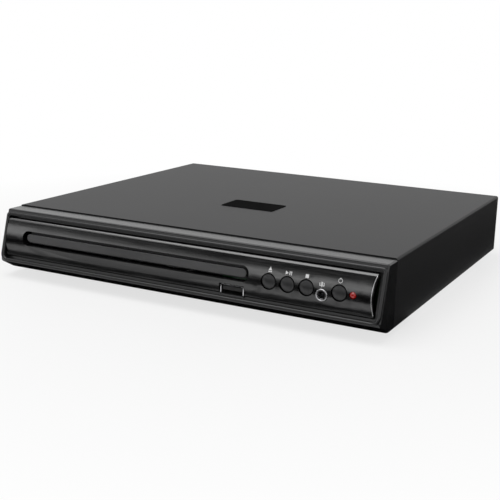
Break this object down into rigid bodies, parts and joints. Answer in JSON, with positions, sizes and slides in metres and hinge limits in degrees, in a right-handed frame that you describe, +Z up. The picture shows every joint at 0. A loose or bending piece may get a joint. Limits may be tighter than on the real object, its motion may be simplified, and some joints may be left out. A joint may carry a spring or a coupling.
{
  "type": "dvd player with tray",
  "caption": "Compact disc player with a motor tray, a sloping front with four round keys, a USB port and a microphone jack, and sockets at the rear.",
  "frame": {"origin": "on the surface the feet stand on, at the middle of the part's length and width", "axes": "+X to the right as seen from the front, +Y towards the rear, +Z up"},
  "size_m": [0.225, 0.214, 0.0378],
  "materials": {
    "cover_paint": "satin black powder coat",
    "gloss_black": "polished black",
    "satin_black": "fine satin grain",
    "soft_black": "matt moulded",
    "key_grey": "fine grain",
    "badge_black": "gloss",
    "zinc_steel": "zinc coated",
    "screw_steel": "bright zinc",
    "chrome_plate": "polished",
    "aluminium_fin": "extruded",
    "white_plastic": "acetal",
    "grey_plastic": "moulded",
    "board_green": "solder mask",
    "chip_black": "moulded epoxy",
    "can_sleeve": "shrink sleeve",
    "core_brown": "ferrite and tape",
    "lens_glass": "coated",
    "light_red": "tinted",
    "foot_rubber": "matt",
    "belt_rubber": "matt",
    "insert_yellow": "moulded"
  },
  "bodies": {
    "chassis": {"top_cover": "cover_paint", "chassis_base": "zinc_steel", "rubber_feet": "foot_rubber", "badge_plate": "badge_black", "front_bezel": "satin_black", "fascia_panel": "gloss_black", "tact_switches": "soft_black", "key_board": "board_green", "key_board_screws": "screw_steel", "power_light": "light_red", "microphone_jack": "chrome_plate", "usb_socket": "chrome_plate", "loader_frame": "soft_black", "loader_screws": "screw_steel", "loading_motor": "zinc_steel", "drive_belt": "belt_rubber", "clamp_bridge": "zinc_steel", "main_board": "board_green", "main_chip": "chip_black", "memory_chips": "chip_black", "ribbon_connectors": "white_plastic", "board_capacitors": "can_sleeve", "heat_sink": "aluminium_fin", "power_board": "board_green", "power_transformer": "core_brown", "bulk_capacitor": "can_sleeve", "output_capacitors": "can_sleeve", "power_heat_sink": "aluminium_fin", "rear_board": "board_green", "board_screws": "screw_steel", "av_jack_block": "soft_black", "av_jack_sleeves": "chrome_plate", "av_jack_inserts": "insert_yellow", "video_socket": "zinc_steel", "power_inlet": "soft_black", "inlet_pins": "chrome_plate", "rear_panel": "zinc_steel", "cover_screws": "screw_steel"},
    "tray": {"disc_tray": "soft_black", "tray_door": "satin_black"},
    "tray_gear_body": {"tray_gear": "white_plastic"},
    "pulley_gear_body": {"pulley_gear": "white_plastic"},
    "motor_pulley_body": {"motor_pulley": "white_plastic"},
    "cam": {"cam_slider": "grey_plastic"},
    "clamp": {"clamp_puck": "white_plastic", "clamp_steel_plate": "zinc_steel"},
    "traverse": {"traverse_frame": "soft_black", "guide_rods": "chrome_plate", "spindle_motor": "zinc_steel", "sled_motor": "zinc_steel"},
    "turntable_body": {"turntable": "soft_black"},
    "sled": {"pickup_sled": "grey_plastic"},
    "lens": {"lens_holder": "chip_black", "objective_lens": "lens_glass"},
    "sled_gear_body": {"sled_gear": "white_plastic"},
    "sled_pinion_body": {"sled_motor_pinion": "white_plastic"},
    "eject_key": {"eject_button": "key_grey"},
    "play_key": {"play_button": "key_grey"},
    "stop_key": {"stop_button": "key_grey"},
    "power_key": {"power_button": "key_grey"}
  },
  "joints": [
    {"name": "tray_slide", "type": "slide", "parent": "chassis", "child": "tray", "axis": [0, -1, 0], "range_m": [0, 0.142]},
    {"name": "tray_gear_spin", "type": "hinge", "parent": "chassis", "child": "tray_gear_body", "pos_m": [0.0025, -0.072, 0.015], "axis": [0, 0, 1], "range_deg": [-678.01, 0]},
    {"name": "pulley_gear_spin", "type": "hinge", "parent": "chassis", "child": "pulley_gear_body", "pos_m": [-0.0135, -0.072, 0.015], "axis": [0, 0, 1], "range_deg": [0, 2034.05]},
    {"name": "motor_pulley_spin", "type": "hinge", "parent": "chassis", "child": "motor_pulley_body", "pos_m": [-0.0495, -0.072, 0.0134], "axis": [0, 0, 1], "range_deg": [0, 6747.91]},
    {"name": "traverse_tilt", "type": "hinge", "parent": "chassis", "child": "traverse", "pos_m": [-0.0275, 0.066, 0.013], "axis": [-1, 0, 0], "range_deg": [0, 3.3]},
    {"name": "cam_slide", "type": "slide", "parent": "chassis", "child": "cam", "axis": [1, 0, 0], "range_m": [0, 0.02001]},
    {"name": "clamp_spin", "type": "hinge", "parent": "chassis", "child": "clamp", "pos_m": [-0.0275, -0.026, 0.028], "axis": [0, 0, 1], "continuous": true},
    {"name": "turntable_spin", "type": "hinge", "parent": "traverse", "child": "turntable_body", "pos_m": [-0.0275, -0.02613, 0.01269], "axis": [0, -0.0576, 0.9983], "continuous": true},
    {"name": "sled_slide", "type": "slide", "parent": "traverse", "child": "sled", "axis": [0, 0.9983, 0.0576], "range_m": [0, 0.034]},
    {"name": "sled_gear_spin", "type": "hinge", "parent": "traverse", "child": "sled_gear_body", "pos_m": [0.0103, 0.02384, 0.01457], "axis": [0, -0.0576, 0.9983], "range_deg": [-405.86, 0]},
    {"name": "sled_pinion_spin", "type": "hinge", "parent": "traverse", "child": "sled_pinion_body", "pos_m": [0.0103, 0.03532, 0.01524], "axis": [0, -0.0576, 0.9983], "range_deg": [0, 1461.09]},
    {"name": "lens_focus", "type": "slide", "parent": "sled", "child": "lens", "axis": [0, -0.0576, 0.9983], "range_m": [-0.0007, 0.0007], "stiffness_N_per_m": 150},
    {"name": "eject_press", "type": "slide", "parent": "chassis", "child": "eject_key", "axis": [0, 1, 0], "range_m": [0, 0.0006], "stiffness_N_per_m": 800},
    {"name": "play_press", "type": "slide", "parent": "chassis", "child": "play_key", "axis": [0, 1, 0], "range_m": [0, 0.0006], "stiffness_N_per_m": 800},
    {"name": "stop_press", "type": "slide", "parent": "chassis", "child": "stop_key", "axis": [0, 1, 0], "range_m": [0, 0.0006], "stiffness_N_per_m": 800},
    {"name": "power_press", "type": "slide", "parent": "chassis", "child": "power_key", "axis": [0, 1, 0], "range_m": [0, 0.0006], "stiffness_N_per_m": 800}
  ],
  "couplings": [
    {"joint": "tray_gear_spin", "follows": "tray_slide", "rad_per_m": -83.333},
    {"joint": "pulley_gear_spin", "follows": "tray_slide", "rad_per_m": 250},
    {"joint": "motor_pulley_spin", "follows": "tray_slide", "rad_per_m": 829.37},
    {"joint": "cam_slide", "follows": "traverse_tilt", "m_per_rad": 0.34698},
    {"joint": "sled_gear_spin", "follows": "sled_slide", "rad_per_m": -208.33},
    {"joint": "sled_pinion_spin", "follows": "sled_slide", "rad_per_m": 750}
  ]
}
